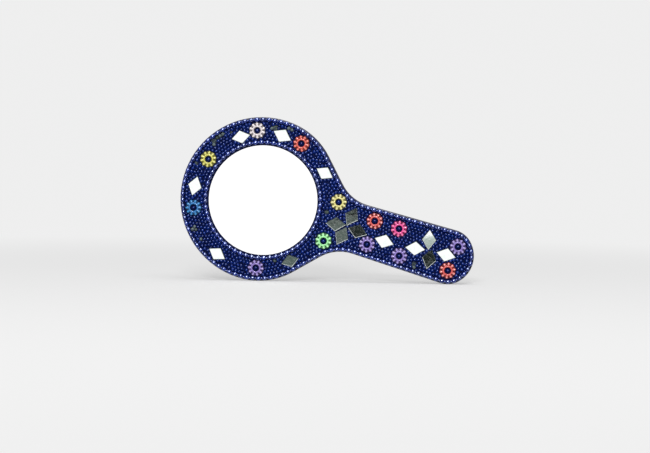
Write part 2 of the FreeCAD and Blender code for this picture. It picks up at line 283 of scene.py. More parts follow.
class Sheet(Nodes):
    """A material's node sheet around its surface shader."""

    def __init__(self, name: str) -> None:
        """Starts a new material.

        Args:
            name: Name of the material.
        """
        self.material = bpy.data.materials.new(name)
        self.material.use_nodes = True
        super().__init__(self.material.node_tree, "Object")
        self.surface = self.tree.nodes["Principled BSDF"]

    def set(self, **inputs: object) -> None:
        """Fills or links the surface shader's inputs, named with underscores for spaces."""
        for name, value in inputs.items():
            self.feed(self.surface.inputs[name.replace("_", " ")], value)

    def normal(self) -> bpy.types.NodeSocket:
        """Gives the direction that the surface faces."""
        return self.tree.nodes.new("ShaderNodeTexCoord").outputs["Normal"]

    def squared_reach(self, x: float, z: float) -> bpy.types.NodeSocket:
        """Measures how far a place on the front is from a point.

        Args:
            x: The point's x in millimetres.
            z: The point's z in millimetres.

        Returns:
            The square of the distance.
        """
        place = self.parts(self.place)
        across = self.math("POWER", self.math("SUBTRACT", place["X"], x * MM), 2.0)
        up = self.math("POWER", self.math("SUBTRACT", place["Z"], z * MM), 2.0)
        return self.math("ADD", across, up)

    def bump(self, height: bpy.types.NodeSocket, depth: float, strength: float = 1.0) -> None:
        """Roughens the surface by a height pattern of a depth in metres."""
        bump = self.node("ShaderNodeBump", Height=height, Distance=depth, Strength=strength)
        self.set(Normal=bump.outputs["Normal"])


@dataclass(frozen=True)
class LacCoat:
    """Dark lac over the back and the side, smoothed by hand and rubbed paler along its round edges.

    Attributes:
        name: Name of the finish.
        deep: Colour where the lac is thick.
        thin: Colour where the lac is thinner.
        worn: Colour of the rubbed edges.
        cloud_scale: Repeats of the colour's clouds per metre.
        cloud_run: Strengths of the clouds where the lac is deep and where it is thin.
        hollow_scale: Repeats of the hand-smoothed hollows per metre.
        hollow_depth: Depth of those hollows.
        rub_scale: Repeats of the rubbing marks per metre.
        rub_stretch: Scale of the rubbing marks along each axis.
        rub_run: Strengths of the marks at which an edge starts to pale and is all pale.
        edge_middle: How far the middle of a round edge faces the back.
        edge_run: How far from that middle the rubbing starts to fade and ends.
        grain_scale: Repeats of the fine grain per metre.
        grain_share: Depth of the grain as a share of the hollows'.
        gloss: Least and greatest roughness.
        coat: Weight of the clear outer gloss.
        coat_roughness: Roughness of that gloss.
    """

    name: str = "lac_coat"
    deep: Colour = (0.002, 0.004, 0.024)
    thin: Colour = (0.011, 0.017, 0.085)
    worn: Colour = (0.035, 0.042, 0.12)
    cloud_scale: float = 55.0
    cloud_run: Range = (0.35, 0.7)
    hollow_scale: float = 42.0
    hollow_depth: float = 0.5 * MM
    rub_scale: float = 420.0
    rub_stretch: Triple = (0.12, 1.0, 1.0)
    rub_run: Range = (0.35, 0.6)
    edge_middle: float = 0.5
    edge_run: Range = (0.2, 0.45)
    grain_scale: float = 2600.0
    grain_share: float = 0.02
    gloss: Range = (0.12, 0.34)
    coat: float = 0.3
    coat_roughness: float = 0.10

    def material(self) -> bpy.types.Material:
        """Builds the clouded colour with its worn edges, the hollows, the rubbing marks and a fine grain.

        Returns:
            The finish.
        """
        sheet = Sheet(self.name)
        clouds = sheet.noise(self.cloud_scale, detail=4.0)
        rubbing = sheet.noise(self.rub_scale, detail=3.0, stretch=self.rub_stretch)
        facing = sheet.math("ABSOLUTE", sheet.parts(sheet.normal())["Y"])
        slant = sheet.math("ABSOLUTE", sheet.math("SUBTRACT", facing, self.edge_middle))
        edge = sheet.span(slant, 1.0, 0.0, *self.edge_run)
        rubbed = sheet.math("MULTIPLY", edge, sheet.span(rubbing, 0.0, 1.0, *self.rub_run))
        lac = sheet.blend(clouds, self.cloud_run, self.deep, self.thin)
        sheet.set(Base_Color=sheet.mix(rubbed, lac, self.worn), Roughness=sheet.span(rubbing, *self.gloss))
        sheet.set(Coat_Weight=self.coat, Coat_Roughness=self.coat_roughness)
        hollows = sheet.noise(self.hollow_scale, detail=1.0)
        grain = sheet.math("MULTIPLY", sheet.noise(self.grain_scale, detail=2.0), self.grain_share)
        sheet.bump(sheet.math("ADD", hollows, grain), self.hollow_depth)
        return sheet.material


@dataclass(frozen=True)
class LacBed:
    """Dark lac of the front, pressed by hand, olive and dusty where beads have come away.

    Attributes:
        name: Name of the finish.
        deep: Colour of the lac between the beads.
        thin: Colour where the lac is thinner.
        olive: Colour of the worn spots.
        bare_core: Share of a worn spot's radius within which it is all bare.
        dust: Least and greatest cover of the olive dust on a worn spot.
        dust_run: Strengths of the pressed pattern between which the dust thickens.
        press_scale: Repeats of the pressed surface per metre.
        press_run: Strengths of the pressed pattern where the lac is deep and where it is thin.
        press_depth: Depth of the pressed surface.
        gloss: Least and greatest roughness.
        shine: Specular level.
    """

    name: str = "lac_bed"
    deep: Colour = (0.0006, 0.003, 0.035)
    thin: Colour = (0.002, 0.007, 0.060)
    olive: Colour = (0.10, 0.13, 0.10)
    bare_core: float = 0.3
    dust: Range = (0.2, 1.0)
    dust_run: Range = (0.4, 0.6)
    press_scale: float = 900.0
    press_run: Range = (0.35, 0.7)
    press_depth: float = 0.15 * MM
    gloss: Range = (0.4, 0.7)
    shine: float = 0.06

    def material(self) -> bpy.types.Material:
        """Builds the dark colour with its bare spots and the pressed surface.

        Returns:
            The finish.
        """
        sheet = Sheet(self.name)
        pressed = sheet.noise(self.press_scale, detail=3.0)
        bare = 0.0
        for x, z, radius in WORN_SPOTS:
            reach = sheet.math("SQRT", sheet.squared_reach(x, z))
            spot = sheet.span(reach, 1.0, 0.0, self.bare_core * radius * MM, radius * MM, "SMOOTHSTEP")
            bare = sheet.math("MAXIMUM", spot, bare)
        dark = sheet.blend(pressed, self.press_run, self.deep, self.thin)
        dusty = sheet.math("MULTIPLY", bare, sheet.span(pressed, *self.dust, *self.dust_run))
        sheet.set(Base_Color=sheet.mix(dusty, dark, self.olive))
        sheet.set(Roughness=sheet.span(pressed, *self.gloss), Specular_IOR_Level=self.shine)
        sheet.bump(pressed, self.press_depth, strength=0.8)
        return sheet.material


@dataclass(frozen=True)
class RawBoard:
    """Sawn board inside the lac.

    Attributes:
        name: Name of the finish.
        pale: Colour of the wood.
        dark: Colour of its grain.
        grain_scale: Repeats of the grain per metre.
        grain_stretch: Scale of the grain along each axis.
        grain_run: Strengths of the grain where the wood is dark and where it is pale.
        grain_depth: Depth of the grain.
        roughness: Roughness of the wood.
    """

    name: str = "board"
    pale: Colour = (0.55, 0.40, 0.25)
    dark: Colour = (0.36, 0.24, 0.14)
    grain_scale: float = 260.0
    grain_stretch: Triple = (0.08, 1.0, 1.0)
    grain_run: Range = (0.35, 0.65)
    grain_depth: float = 0.1 * MM
    roughness: float = 0.7

    def material(self) -> bpy.types.Material:
        """Builds a long grain along the handle.

        Returns:
            The finish.
        """
        sheet = Sheet(self.name)
        grain = sheet.noise(self.grain_scale, detail=5.0, stretch=self.grain_stretch)
        wood = sheet.blend(grain, self.grain_run, self.dark, self.pale)
        sheet.set(Base_Color=wood, Roughness=self.roughness)
        sheet.bump(grain, self.grain_depth, strength=0.5)
        return sheet.material


@dataclass(frozen=True)
class SilveredGlass:
    """Mirror glass with clouded silvering and ground edges, with a painted reflection lightening them
    below and painted shade darkening them above.

    Attributes:
        name: Name of the finish.
        silver: Colour of the silvering.
        clouded: Colour where the silvering is clouded.
        lower_edge_and_painted_light: Colour of the cut edges that face down, including any painted
            reflection on them.
        upper_edge_and_painted_shade: Colour of the cut edges that face up, including any painted shade on
            them.
        waves: Depth of the waves in the glass.
        hollow: Middle of a hollow glass as x and z in millimetres, and its rise per squared metre.
        wave_scale: Repeats of the waves per metre.
        dust_scale: Repeats of the clouding per metre.
        cloud_run: Strengths of the clouding where the silver is clouded and where it is clear.
        dust_share: Depth of the clouding's relief as a share of the waves'.
        dust_cover: Share of the silver that the thickest dust hides.
        dust_run: Strengths of the clouding between which the dust thickens.
        front_run: How far a face turns to the front where the silver starts and where it is full.
        edge_run: How far an edge turns up where its painted shade starts to darken it and where it is
            dark.
        edge_roughness: Roughness of the ground edges.
    """

    name: str
    silver: Colour
    clouded: Colour
    lower_edge_and_painted_light: Colour
    upper_edge_and_painted_shade: Colour
    waves: float
    hollow: Triple | None = None
    wave_scale: float = 110.0
    dust_scale: float = 700.0
    cloud_run: Range = (0.4, 0.6)
    dust_share: float = 0.2
    dust_cover: float = 0.05
    dust_run: Range = (0.4, 0.7)
    front_run: Range = (-0.90, -0.95)
    edge_run: Range = (-0.2, 0.2)
    edge_roughness: float = 0.25

    def material(self) -> bpy.types.Material:
        """Builds the silver on the faces to the front and the ground glass on the edges, with painted
        light below and painted shade above.

        Returns:
            The finish.
        """
        sheet = Sheet(self.name)
        normal = sheet.parts(sheet.normal())
        front = sheet.span(normal["Y"], 0.0, 1.0, *self.front_run)
        # Painted light and shade: edges that face down take the painted reflection colour, edges that face
        # up the painted shade colour.
        facing_up_painted_shade = sheet.span(normal["Z"], 0.0, 1.0, *self.edge_run)
        edge = sheet.mix(facing_up_painted_shade, self.lower_edge_and_painted_light, self.upper_edge_and_painted_shade)
        dust = sheet.noise(self.dust_scale, detail=3.0)
        silver = sheet.blend(dust, self.cloud_run, self.clouded, self.silver)
        bare = sheet.span(dust, 1.0, 1.0 - self.dust_cover, *self.dust_run)
        sheet.set(Base_Color=sheet.mix(front, edge, silver))
        sheet.set(Metallic=sheet.math("MULTIPLY", front, bare))
        sheet.set(Roughness=sheet.span(front, self.edge_roughness, 0.0))
        relief = sheet.math("MULTIPLY", dust, self.dust_share)
        height = sheet.math("ADD", sheet.noise(self.wave_scale, detail=1.0), relief)
        if self.hollow:
            x, z, rise = self.hollow
            bowl = sheet.math("MULTIPLY", sheet.squared_reach(x, z), rise / self.waves)
            height = sheet.math("ADD", height, bowl)
        sheet.bump(height, self.waves)
        return sheet.material


@dataclass(frozen=True)
class BeadGloss:
    """Glossy bead, with its own tone from bead to bead.

    Attributes:
        name: Name of the finish.
        deep: Colour of the darkest beads.
        bright: Colour of the lightest beads.
        roughness: Roughness of the body.
        density: Refractive index of the glass or the pearl skin.
        shine: Specular level.
        coat: Weight of the clear outer gloss.
        coat_roughness: Roughness of that gloss.
        sheen: Colour of the highlights.
        uneven_scale: Repeats of the unevenness per metre.
        uneven_depth: Depth of the unevenness.
        uneven_share: How far the roughness strays, as a share of itself.
    """

    name: str
    deep: Colour
    bright: Colour
    roughness: float
    density: float
    shine: float
    coat: float
    coat_roughness: float = 0.08
    sheen: Colour = (0.62, 0.72, 1.0)
    uneven_scale: float = 1500.0
    uneven_depth: float = 0.006 * MM
    uneven_share: float = 0.2

    def material(self) -> bpy.types.Material:
        """Builds the toned colour and a faintly uneven gloss.

        Returns:
            The finish.
        """
        sheet = Sheet(self.name)
        uneven = sheet.noise(self.uneven_scale, detail=2.0)
        stray = self.uneven_share * self.roughness
        sheet.set(Base_Color=sheet.blend(sheet.attribute(TONE), (0.0, 1.0), self.deep, self.bright))
        sheet.set(Roughness=sheet.span(uneven, self.roughness - stray, self.roughness + stray))
        sheet.set(IOR=self.density, Specular_IOR_Level=self.shine, Specular_Tint=self.sheen)
        sheet.set(Coat_Weight=self.coat, Coat_Roughness=self.coat_roughness)
        sheet.bump(uneven, self.uneven_depth, strength=0.4)
        return sheet.material


@dataclass(frozen=True)
class FlowerPlastic:
    """Glossy moulded plastic, dull in the grooves, with painted shade darkening the grooves and a painted
    highlight lightening the petal tips.

    Attributes:
        colour: Which of the flower colours this is.
        body: Colour of the ring and the petals.
        tip: Colour of the petal tips, lightened as a painted highlight.
        painted_shade_share: Colour of the painted shade in the grooves as a share of the body's.
        body_tone: Tone at which the body has its own colour.
        groove_run: Tones between which a groove turns into the glossy body.
        groove_roughness: Roughness of the grooves.
        gloss: Least and greatest roughness of the body.
        coat: Weight of the clear outer gloss.
        coat_roughness: Roughness of that gloss.
        cloud_scale: Repeats of the uneven gloss per metre.
        cloud_depth: Depth of the uneven surface.
    """

    colour: FlowerColour
    body: Colour
    tip: Colour
    painted_shade_share: float = 0.25
    body_tone: float = 0.45
    groove_run: Range = (0.15, 0.5)
    groove_roughness: float = 0.85
    gloss: Range = (0.16, 0.34)
    coat: float = 0.45
    coat_roughness: float = 0.08
    cloud_scale: float = 800.0
    cloud_depth: float = 0.03 * MM

    def material(self) -> bpy.types.Material:
        """Builds the body colour with painted shade in its grooves and a painted highlight on its tips, by
        the mesh's own tone.

        Returns:
            The finish.
        """
        sheet = Sheet(f"flower_{self.colour.value}")
        # Painted shade: the grooves take a darkened copy of the body colour.
        groove = tuple(self.painted_shade_share * part for part in self.body)
        clouds = sheet.noise(self.cloud_scale, detail=2.0)
        tone = sheet.attribute(TONE)
        # The ramp runs from the painted groove shade through the body colour to the painted highlight of
        # the tips.
        toned = sheet.ramp(tone, (0.0, groove), (self.body_tone, self.body), (1.0, self.tip))
        dull = sheet.span(tone, self.groove_roughness, 0.0, *self.groove_run)
        roughness = sheet.math("MAXIMUM", sheet.span(clouds, *self.gloss), dull)
        sheet.set(Base_Color=toned, Roughness=roughness)
        sheet.set(Coat_Weight=sheet.span(tone, 0.0, self.coat, *self.groove_run))
        sheet.set(Coat_Roughness=self.coat_roughness)
        sheet.bump(clouds, self.cloud_depth, strength=0.4)
        return sheet.material


GLASS_SILVER = SilveredGlass(
    name="mirror_silver",
    silver=(0.98, 0.98, 0.98),
    clouded=(0.97, 0.97, 0.97),
    lower_edge_and_painted_light=(0.30, 0.40, 0.36),
    upper_edge_and_painted_shade=(0.30, 0.40, 0.36),
    waves=0.002 * MM,
    dust_cover=0.0,
)
# The lozenges' edges carry a painted reflection below and painted shade above.
LOZENGE_SILVER = SilveredGlass(
    name="lozenge_silver",
    silver=(0.96, 0.98, 0.96),
    clouded=(0.80, 0.86, 0.83),
    lower_edge_and_painted_light=(0.85, 0.92, 0.88),
    upper_edge_and_painted_shade=(0.10, 0.13, 0.12),
    waves=0.03 * MM,
)
HOLLOW_SILVER = replace(LOZENGE_SILVER, name="hollow_silver", hollow=(62.6, 26.9, 1.03))

STRING_PEARL = BeadGloss(
    name="string_pearl",
    deep=(0.0003, 0.008, 0.15),
    bright=(0.001, 0.022, 0.30),
    roughness=0.26,
    density=2.4,
    shine=1.0,
    coat=0.2,
)
SEED_NAVY = BeadGloss(
    name="seed_navy",
    deep=(0.0003, 0.009, 0.105),
    bright=(0.002, 0.020, 0.19),
    roughness=0.25,
    density=1.55,
    shine=1.0,
    coat=0.2,
)
SEED_WORN = BeadGloss(
    name="seed_worn",
    deep=(0.040, 0.055, 0.035),
    bright=(0.13, 0.17, 0.18),
    roughness=0.4,
    density=1.5,
    shine=0.6,
    coat=0.0,
)

# Each tip colour is the body colour lightened as a painted highlight.
FLOWER_PLASTICS = (
    FlowerPlastic(FlowerColour.YELLOW, body=(0.52, 0.49, 0.09), tip=(0.80, 0.76, 0.32)),
    FlowerPlastic(FlowerColour.WHITE, body=(0.62, 0.56, 0.56), tip=(0.88, 0.83, 0.83)),
    FlowerPlastic(FlowerColour.ORANGE, body=(0.60, 0.085, 0.06), tip=(0.84, 0.30, 0.25)),
    FlowerPlastic(FlowerColour.BLUE, body=(0.025, 0.15, 0.40), tip=(0.07, 0.31, 0.62)),
    FlowerPlastic(FlowerColour.VIOLET, body=(0.20, 0.14, 0.44), tip=(0.52, 0.45, 0.77)),
    FlowerPlastic(FlowerColour.CREAM, body=(0.62, 0.57, 0.19), tip=(0.86, 0.82, 0.50)),
    FlowerPlastic(FlowerColour.GREEN, body=(0.27, 0.73, 0.28), tip=(0.64, 0.96, 0.59)),
    FlowerPlastic(FlowerColour.RED, body=(0.58, 0.055, 0.045), tip=(0.90, 0.54, 0.52)),
    FlowerPlastic(FlowerColour.PINK, body=(0.72, 0.06, 0.27), tip=(0.92, 0.32, 0.50)),
)


def choose(*pieces: bpy.types.Object) -> None:
    """Selects these pieces alone, the last one active.

    Args:
        pieces: Objects to select.
    """
    bpy.ops.object.select_all(action="DESELECT")
    for piece in pieces:
        piece.select_set(True)
        bpy.context.view_layer.objects.active = piece


def join(pieces: list[bpy.types.Object], name: str) -> bpy.types.Object:
    """Joins pieces into one object with its place in its mesh.

    Args:
        pieces: Objects to join.
        name: Name of the joined piece.

    Returns:
        The joined piece.
    """
    choose(*pieces)
    bpy.ops.object.join()
    joined = bpy.context.view_layer.objects.active
    bpy.ops.object.transform_apply(location=True, rotation=True, scale=True)
    joined.name = name
    joined.data.name = name
    return joined


def placed_copy(master: bpy.types.Object, place: Matrix, tone: float | None = None) -> bpy.types.Object:
    """Copies a model with a mesh of its own.

    Args:
        master: Model to copy.
        place: Where the copy goes.
        tone: Value that all of its corners carry, where the model carries none.

    Returns:
        The copy, with its place in its mesh.
    """
    mesh = master.data.copy()
    mesh.transform(place)
    if tone is not None:
        values = mesh.attributes.new(TONE, "FLOAT", "POINT")
        values.data.foreach_set("value", [tone] * len(mesh.vertices))
    copy = bpy.data.objects.new(master.name, mesh)
    bpy.context.scene.collection.objects.link(copy)
    return copy


def apply_modifier(piece: bpy.types.Object, kind: str, **settings: object) -> None:
    """Adds a modifier and applies it.

    Args:
        piece: Object to work on.
        kind: Modifier type.
        settings: Values of the modifier.
    """
    choose(piece)
    modifier = piece.modifiers.new(kind.lower(), kind)
    for name, value in settings.items():
        setattr(modifier, name, value)
    bpy.ops.object.modifier_apply(modifier=modifier.name)


def dress(piece: bpy.types.Object, material: bpy.types.Material) -> None:
    """Gives a piece one material all over."""
    piece.data.materials.clear()
    piece.data.materials.append(material)


def seat(piece: bpy.types.Object, slot: str, *nodes: str) -> None:
    """Lets a finished piece ride on the body and stand for CAD nodes.

    Args:
        piece: Finished piece.
        slot: Material slot of the record that it takes its finish from; not used.
        nodes: CAD nodes that it stands for.
    """
    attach(piece, BODY)
    if nodes:
        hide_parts(*nodes)
    stands_for = ", ".join(nodes) or "the scene alone"
    log.info("%s: %d faces for %s", piece.name, len(piece.data.polygons), stands_for)


def loose_parts(node: str) -> list[list[Vector]]:
    """Reads the separate solids of a CAD node.

    Args:
        node: Name of the node.

    Returns:
        The corners of every solid.
    """
    shape = bmesh.new()
    shape.from_mesh(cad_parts[node].data)
    bmesh.ops.remove_doubles(shape, verts=shape.verts, dist=MERGE_DISTANCE)
    shape.verts.index_update()
    seen = set()
    parts = []
    for first in shape.verts:
        if first.index in seen:
            continue
        seen.add(first.index)
        waiting = [first]
        corners = []
        while waiting:
            corner = waiting.pop()
            corners.append(corner.co.copy())
            for edge in corner.link_edges:
                other = edge.other_vert(corner)
                if other.index not in seen:
                    seen.add(other.index)
                    waiting.append(other)
        parts.append(corners)
    shape.free()
    return parts


def bead_seats(node: str) -> list[Vector]:
    """Finds where the beads of a CAD node sit on the bed.

    Args:
        node: Name of the node.

    Returns:
        One point on the bed's surface under each bead.
    """
    seats = []
    for corners in loose_parts(node):
        centre = sum(corners, Vector()) / len(corners)
        seats.append(Vector((centre.x, max(corner.y for corner in corners), centre.z)))
    return seats


def pressed_ball(name: str, segments: int, rings: int, dimple: float) -> bpy.types.Object:
    """Models a ball of radius 1 around the origin, with the two ends of its hole pressed in along Z.

    Args:
        name: Name of the model.
        segments: Faces around the ball.
        rings: Faces from pole to pole.
        dimple: Depth of the pressed poles.

    Returns:
        The model.
    """
    bpy.ops.object.select_all(action="DESELECT")
    bpy.ops.mesh.primitive_uv_sphere_add(segments=segments, ring_count=rings, radius=1.0)
    bpy.ops.object.shade_smooth()
    ball = bpy.context.object
    ball.name = name
    for side in (1, -1):
        bpy.ops.object.mode_set(mode="EDIT")
        bpy.ops.mesh.select_all(action="DESELECT")
        bpy.ops.object.mode_set(mode="OBJECT")
        for corner in ball.data.vertices:
            corner.select = side * corner.co.z > POLE_HEIGHT
        bpy.ops.object.mode_set(mode="EDIT")
        bpy.ops.transform.translate(value=(0, 0, -side * dimple))
        bpy.ops.mesh.select_all(action="DESELECT")
        bpy.ops.object.mode_set(mode="OBJECT")
    return ball


@dataclass
class LacShell:
    """Lac coat of the back and the side, with its edges rubbed round.

    Attributes:
        node: CAD node of the coat.
        softening: Width of the rounded edges.
        segments: Faces across a rounded edge.
        corner: Least angle of an edge that is rounded.
        flatness: Greatest angle between faces that are merged into one.
    """

    node: str = "lac_back_shell"
    softening: float = 0.45 * MM
    segments: int = 3
    corner: float = math.radians(30)
    flatness: float = math.radians(0.5)

    def build(self, finish: LacCoat) -> None:
        """Softens a copy of the solid's edges and dresses it.

        Args:
            finish: Lac finish.
        """
        piece = placed_copy(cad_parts[self.node], Matrix.Identity(4))
        piece.name = "lac_coat_shell"
        choose(piece)
        bpy.ops.object.mode_set(mode="EDIT")
        bpy.ops.mesh.select_all(action="SELECT")
        bpy.ops.mesh.remove_doubles(threshold=MERGE_DISTANCE)
        bpy.ops.mesh.dissolve_limited(angle_limit=self.flatness)
        bpy.ops.object.mode_set(mode="OBJECT")
        apply_modifier(
            piece,
            "BEVEL",
            width=self.softening,
            segments=self.segments,
            angle_limit=self.corner,
        )
        bpy.ops.object.shade_smooth_by_angle(angle=self.corner)
        dress(piece, finish.material())
        seat(piece, "lac_coat", self.node)


@dataclass
class BeadStrings:
    """Strings of beads along the rim and around the glass, with a small spacer between each two.

    Attributes:
        length: Length of a bead along the string.
        width: Width of a bead across the string.
        height: Height of a bead above the bed.
        dome: Height of the bead's flat-domed front.
        segments: Faces around a bead.
        rings: Faces along a bead.
        dimple: Depth of the ends of a hole as a share of the radius.
        spacer_radius: Radius of a spacer.
        spacer_height: Height of a spacer above the bed.
        spacer_segments: Faces around a spacer.
        spacer_rings: Faces along a spacer.
        shuffle: Start of the random tones.
    """

    length: float = 2.9 * MM
    width: float = 2.44 * MM
    height: float = 2.35 * MM
    dome: float = 0.9 * MM
    segments: int = 12
    rings: int = 8
    dimple: float = 0.10
    spacer_radius: float = 0.62 * MM
    spacer_height: float = 1.85 * MM
    spacer_segments: int = 8
    spacer_rings: int = 6
    shuffle: int = 5

    def bead(self) -> bpy.types.Object:
        """Models one bead along Z with its flat-domed front to Y and its back down to the bed.

        Returns:
            The model.
        """
        bead = pressed_ball("string_bead", self.segments, self.rings, self.dimple)
        for corner in bead.data.vertices:
            corner.select = corner.co.y < 0
        bpy.ops.object.mode_set(mode="EDIT")
        bpy.ops.transform.resize(value=(1, self.height / self.dome - 1, 1), center_override=(0, 0, 0))
        bpy.ops.mesh.select_all(action="SELECT")
        half = (self.width / 2, self.dome, self.length / 2)
        bpy.ops.transform.resize(value=half, center_override=(0, 0, 0))
        bpy.ops.object.mode_set(mode="OBJECT")
        return bead

    def spacer(self) -> bpy.types.Object:
        """Models one spacer, a small ball with its hole along Z.

        Returns:
            The model.
        """
        spacer = pressed_ball("spacer", self.spacer_segments, self.spacer_rings, self.dimple)
        bpy.ops.transform.resize(value=(self.spacer_radius, self.spacer_radius, self.spacer_radius))
        bpy.ops.object.transform_apply(scale=True)
        return spacer

    @staticmethod
    def turned_along(step: Vector) -> Matrix:
        """Turns a model's Z along a step of the string and its Y to the front."""
        along = step.normalized()
        return Matrix((FRONT.cross(along), FRONT, along)).transposed().to_4x4()

    def build(self, name: str, node: str, gloss: bpy.types.Material) -> None:
        """Strings the beads of one node.

        Args:
            name: Name of the string's piece.
            node: CAD node with the beads.
            gloss: Finish of the beads and the spacers.
        """
        chance = random.Random(self.shuffle)
        seats = bead_seats(node)
        bead = self.bead()
        spacer = self.spacer()
        rise = Vector((0, self.dome - self.height, 0))
        spacer_rise = Vector((0, self.spacer_radius - self.spacer_height, 0))
        beads = []
        spacers = []
        for index, spot in enumerate(seats):
            nearest = sorted(range(len(seats)), key=lambda other: (seats[other] - spot).length)[1:3]
            turn = self.turned_along(seats[nearest[1]] - seats[nearest[0]])
            beads.append(placed_copy(bead, Matrix.Translation(spot + rise) @ turn, chance.random()))
            for other in nearest:
                if index < other:
                    middle = (spot + seats[other]) / 2 + spacer_rise
                    place = Matrix.Translation(middle) @ self.turned_along(seats[other] - spot)
                    spacers.append(placed_copy(spacer, place, chance.random()))
        string = join(beads, name)
        dress(string, gloss)
        seat(string, "string_bead", node)
        between = join(spacers, f"{name}_spacers")
        dress(between, gloss)
        seat(between, "string_bead")
        for model in (bead, spacer):
            bpy.data.objects.remove(model)


@dataclass
class SeedField:
    """Small glass beads that fill the front, each set at its own angle.

    Attributes:
        radius: Radius of the model.
        height: Height of a bead above the bed.
        flatness: Length of the model along its hole as a share of its width.
        largest: Size of the largest bead as a share of the model's.
        smallest: Size of the smallest filling bead as a share of the model's.
        gap_step: Step at which the field is searched for gaps.
        gap_reach: Greatest distance of a filling bead from the next bead.
        flower_reach: Least distance of a filling bead's edge from a flower's centre.
        neighbours: Nearest beads that a bead's size depends on.
        segments: Faces around a bead.
        rings: Faces along a bead.
        dimple: Depth of the ends of a hole as a share of the radius.
        tip: Greatest angle at which a hole tips out of the bed.
        shuffle: Start of the random angles and tones.
    """

    radius: float = 1.0 * MM
    height: float = 1.42 * MM
    flatness: float = 0.86
    largest: float = 1.2
    smallest: float = 0.58
    gap_step: float = 0.3 * MM
    gap_reach: float = 2.7 * MM
    flower_reach: float = 4.9 * MM
    neighbours: int = 5
    segments: int = 8
    rings: int = 6
    dimple: float = 0.22
    tip: float = math.radians(35)
    shuffle: int = 7

    def seed(self) -> bpy.types.Object:
        """Models one bead, a flattened ball with a dimple at each end of its hole.

        Returns:
            The model.
        """
        seed = pressed_ball("seed", self.segments, self.rings, self.dimple)
        bpy.ops.transform.resize(value=(self.radius, self.radius, self.flatness * self.radius))
        bpy.ops.object.transform_apply(scale=True)
        return seed

    def growth(self, seats: list[Vector], spot: Vector) -> float:
        """Finds how large a bead can be before it meets its neighbours.

        Args:
            seats: Places of all the beads.
            spot: Place of this bead.

        Returns:
            Its size as a share of the model's.
        """
        gaps = sorted((other - spot).length for other in seats)[1:1 + self.neighbours]
        return min(self.largest, max(1.0, sum(gaps) / len(gaps) / 2 / self.radius))

    @staticmethod
    def is_worn(spot: Vector) -> bool:
        """Tells whether a bead sits in a worn spot."""
        return any(
            math.hypot(spot.x - x * MM, spot.z - z * MM) < radius * MM for x, z, radius in WORN_SPOTS
        )

    @staticmethod
    def obstacles() -> BVHTree:
        """Gathers the strings, the flowers and the lozenges that stand around the field.

        Returns:
            Their surfaces, for measuring to.
        """
        corners = []
        faces = []
        for name, node in sorted(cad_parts.items()):
            if name.startswith(("rim_", "mirror_ring", "flower_", "lozenge_")):
                start = len(corners)
                corners += [corner.co.copy() for corner in node.data.vertices]
                faces += [[start + index for index in face.vertices] for face in node.data.polygons]
        return BVHTree.FromPolygons(corners, faces)

    def grid(self, seats: list[Vector]) -> Iterator[Vector]:
        """Walks over the field in small steps.

        Args:
            seats: Places of the field's beads.

        Yields:
            One place on the bed after another.
        """
        low_x, high_x = min(spot.x for spot in seats), max(spot.x for spot in seats)
        low_z, high_z = min(spot.z for spot in seats), max(spot.z for spot in seats)
        for column in range(int((high_x - low_x) / self.gap_step) + 1):
            for row in range(int((high_z - low_z) / self.gap_step) + 1):
                yield Vector((low_x + column * self.gap_step, seats[0].y, low_z + row * self.gap_step))

    def gaps(self, seats: list[Vector]) -> list[tuple[float, Vector]]:
        """Measures the room for one more bead between the beads, the flowers and the other pieces.

        Args:
            seats: Places of the field's beads.

        Returns:
            The radius that has room at a place, and the place, wherever the smallest bead may have room.
        """
        obstacles = self.obstacles()
        flowers = bead_seats(CENTRE_BEADS)
        sizes = [self.growth(seats, spot) * self.radius for spot in seats]
        field = KDTree(len(seats))
        for index, spot in enumerate(seats):
            field.insert(spot, index)
        field.balance()
        found = []
        for spot in self.grid(seats):
            near = field.find_n(spot, self.neighbours)
            room = min(distance - sizes[index] for corner, index, distance in near)
            room = min(room, min((spot - flower).length for flower in flowers) - self.flower_reach)
            if room < self.smallest * self.radius or near[0][2] > self.gap_reach or self.is_worn(spot):
                continue
            middle = spot + FRONT * self.radius / 2
            if obstacles.ray_cast(middle, FRONT)[0] is None:
                found.append((min(room, obstacles.find_nearest(middle)[3], self.radius), spot))
        return found

    def fillers(self, seats: list[Vector]) -> list[tuple[Vector, float]]:
        """Chooses the gaps of the field that take one more, smaller bead, the widest first.

        Args:
            seats: Places of the field's beads.

        Returns:
            The places of the smaller beads and their sizes as shares of the model's.
        """
        chosen = []
        for size, spot in sorted(self.gaps(seats), key=lambda gap: -gap[0]):
            if size < self.smallest * self.radius:
                break
            if all((spot - other).length > size + taken * self.radius for other, taken in chosen):
                chosen.append((spot, size / self.radius))
        return chosen

    def scatter(
        self,
        name: str,
        spots: list[tuple[Vector, float]],
        gloss: bpy.types.Material,
        worn: bpy.types.Material,
    ) -> bpy.types.Object:
        """Sets beads on the bed, each at its own angle and in its own tone.

        Args:
            name: Name of the piece.
            spots: Places of the beads and their sizes as shares of the model's.
            gloss: Finish of the beads.
            worn: Finish of those in the worn spots.

        Returns:
            The piece.
        """
        chance = random.Random(self.shuffle)
        seed = self.seed()
        beads = []
        for spot, growth in spots:
            rise = Vector((0, growth * self.radius - self.height, 0))
            turn = Matrix.Rotation(chance.uniform(0, math.tau), 4, "Y")
            tip = Matrix.Rotation(chance.uniform(-self.tip, self.tip), 4, "X")
            place = Matrix.Translation(spot + rise) @ turn @ tip @ Matrix.Scale(growth, 4)
            bead = placed_copy(seed, place, chance.random())
            dress(bead, worn if self.is_worn(spot) else gloss)
            beads.append(bead)
        bpy.data.objects.remove(seed)
        return join(beads, name)

